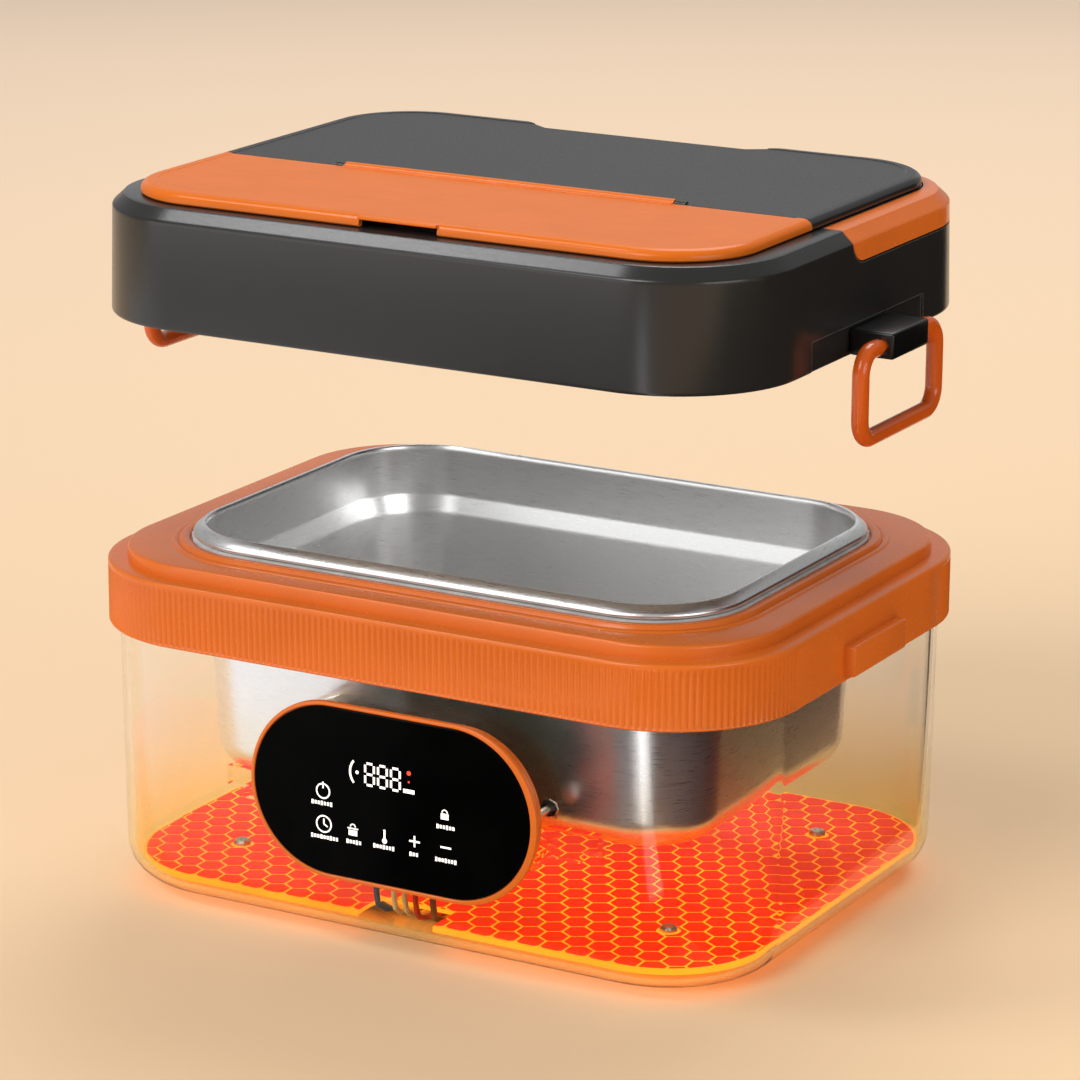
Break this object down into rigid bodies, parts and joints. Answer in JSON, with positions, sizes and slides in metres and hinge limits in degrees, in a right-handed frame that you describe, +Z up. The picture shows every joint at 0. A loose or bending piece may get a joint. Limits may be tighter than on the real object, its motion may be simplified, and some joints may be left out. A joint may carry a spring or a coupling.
{
  "type": "electric lunch box",
  "caption": "Portable electric lunch box: clear heated tub with a lift-out steel pan, touch panel, and a raised dark lid with hinged cover, folding handle and wire bails.",
  "frame": {"origin": "on the surface that the feet stand on, under the middle of the box", "axes": "+X to the right as seen from the front, along the long side; +Y from the control panel towards the rear; +Z up"},
  "size_m": [0.2688, 0.191, 0.2365],
  "materials": {
    "clear_plastic": "clear, polished",
    "orange_plastic": "satin, moulded",
    "orange_bail": "smooth, coated wire",
    "dark_plastic": "satin, moulded",
    "black_plastic": "satin, moulded",
    "amber_plastic": "smooth",
    "liner_plastic": "smooth",
    "stainless_steel": "satin, pressed",
    "silicone": "matt",
    "foot_rubber": "matt",
    "plate_enamel": "enamelled",
    "aluminium": "bare",
    "element_metal": "dull",
    "ceramic": "glazed",
    "black_glass": "polished",
    "circuit_board": "lacquered",
    "steel_fasteners": "plated",
    "brass": "plated",
    "lead_red": "sleeve",
    "lead_white": "sleeve",
    "lead_brown": "sleeve",
    "lead_blue": "sleeve"
  },
  "bodies": {
    "base": {"clear_shell": "clear_plastic", "collar": "orange_plastic", "pan_seat_seal": "silicone", "heater_plate": "plate_enamel", "heat_shield": "aluminium", "heater_element": "element_metal", "thermostat": "element_metal", "thermal_fuse": "ceramic", "temperature_sensor": "element_metal", "control_bezel": "orange_plastic", "touch_glass": "black_glass", "panel_housing": "amber_plastic", "control_board": "circuit_board", "display_module": "black_plastic", "panel_screw_left": "steel_fasteners", "panel_screw_right": "steel_fasteners", "power_inlet": "black_plastic", "inlet_pin_left": "brass", "inlet_pin_right": "brass", "mains_wire_left": "lead_blue", "mains_wire_right": "lead_brown", "heater_lead": "lead_red", "thermostat_link": "lead_red", "fuse_link": "lead_red", "return_lead": "lead_white", "sensor_lead": "lead_white", "plate_screw_1": "steel_fasteners", "plate_screw_2": "steel_fasteners", "plate_screw_3": "steel_fasteners", "plate_screw_4": "steel_fasteners", "foot_1": "foot_rubber", "foot_2": "foot_rubber", "foot_3": "foot_rubber", "foot_4": "foot_rubber"},
    "pan": {"steel_pan": "stainless_steel"},
    "lid": {"lid_shell": "dark_plastic", "rear_panel": "dark_plastic", "cutlery_well": "black_plastic", "lid_liner": "liner_plastic", "lid_seal": "silicone", "cover_hinge_pin": "steel_fasteners", "handle_pin_left": "steel_fasteners", "handle_pin_right": "steel_fasteners", "bail_block_left": "black_plastic", "bail_block_right": "black_plastic", "liner_screw_1": "steel_fasteners", "liner_screw_2": "steel_fasteners", "liner_screw_3": "steel_fasteners", "liner_screw_4": "steel_fasteners"},
    "cover": {"front_cover": "orange_plastic"},
    "carry_handle": {"handle": "orange_plastic"},
    "latch_left": {"bail_left": "orange_bail"},
    "latch_right": {"bail_right": "orange_bail"}
  },
  "joints": [
    {"name": "pan_lift", "type": "slide", "parent": "base", "child": "pan", "axis": [0, 0, 1], "range_m": [0, 0.08]},
    {"name": "lid_lift", "type": "slide", "parent": "base", "child": "lid", "axis": [0, 0, 1], "range_m": [-0.0818, 0]},
    {"name": "cover_hinge", "type": "hinge", "parent": "lid", "child": "cover", "pos_m": [0, -0.016, 0.2346], "axis": [-1, 0, 0], "range_deg": [0, 100]},
    {"name": "handle_hinge", "type": "hinge", "parent": "lid", "child": "carry_handle", "pos_m": [0, -0.0035, 0.229], "axis": [1, 0, 0], "range_deg": [0, 90]},
    {"name": "bail_left_hinge", "type": "hinge", "parent": "lid", "child": "latch_left", "pos_m": [-0.1302, 0, 0.1975], "axis": [0, 1, 0], "range_deg": [-7.5, 170]},
    {"name": "bail_right_hinge", "type": "hinge", "parent": "lid", "child": "latch_right", "pos_m": [0.1302, 0, 0.1975], "axis": [0, -1, 0], "range_deg": [-7.5, 170]}
  ]
}
